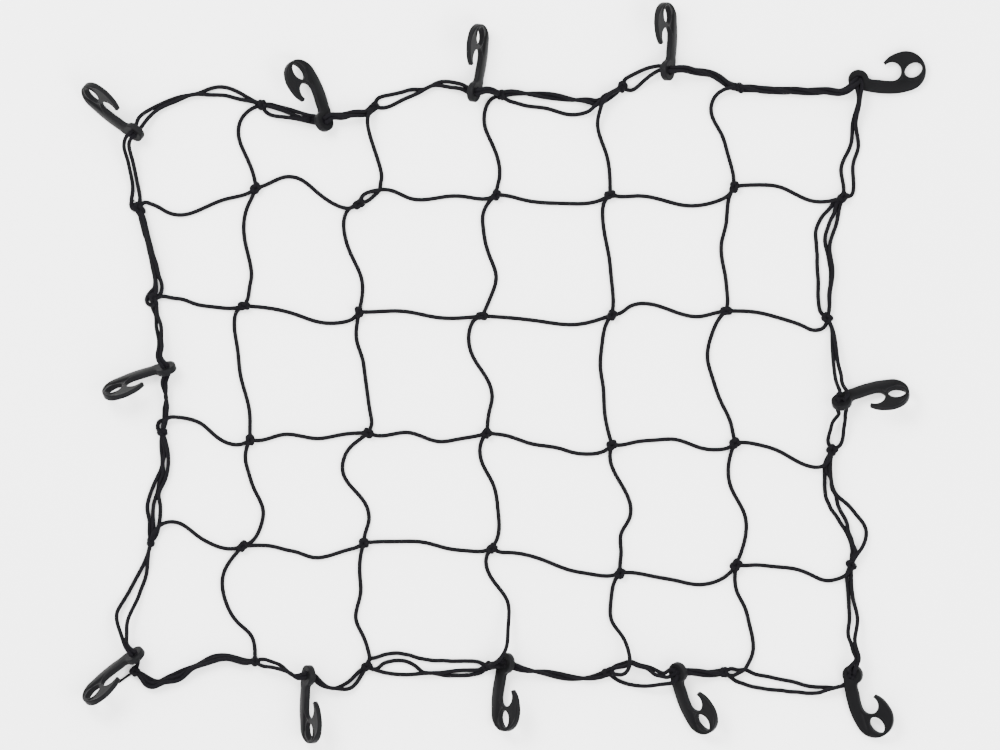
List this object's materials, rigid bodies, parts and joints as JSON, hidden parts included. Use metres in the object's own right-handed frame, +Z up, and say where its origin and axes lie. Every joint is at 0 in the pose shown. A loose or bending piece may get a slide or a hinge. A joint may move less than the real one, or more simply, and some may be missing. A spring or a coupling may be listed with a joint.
{
  "type": "cargo net",
  "caption": "Elastic cord cargo net with knotted square cells and moulded plastic hooks round its border, lying loose on a flat surface.",
  "frame": {"origin": "middle of the part's box, on the surface that the net lies on", "axes": "+X to the right along the net's longer side, +Y towards its top border, +Z up"},
  "size_m": [0.8407, 0.7356, 0.0389],
  "materials": {
    "elastic_cord": "braided black cover over a rubber core, dull, with a faint pick pattern",
    "hook_plastic": "moulded black plastic with a soft satin sheen"
  },
  "bodies": {
    "root": {"net": "elastic_cord", "hook_01": "hook_plastic", "hook_02": "hook_plastic", "hook_03": "hook_plastic", "hook_04": "hook_plastic", "hook_05": "hook_plastic", "hook_06": "hook_plastic", "hook_07": "hook_plastic", "hook_08": "hook_plastic", "hook_09": "hook_plastic", "hook_10": "hook_plastic", "hook_11": "hook_plastic", "hook_12": "hook_plastic"}
  },
  "joints": []
}
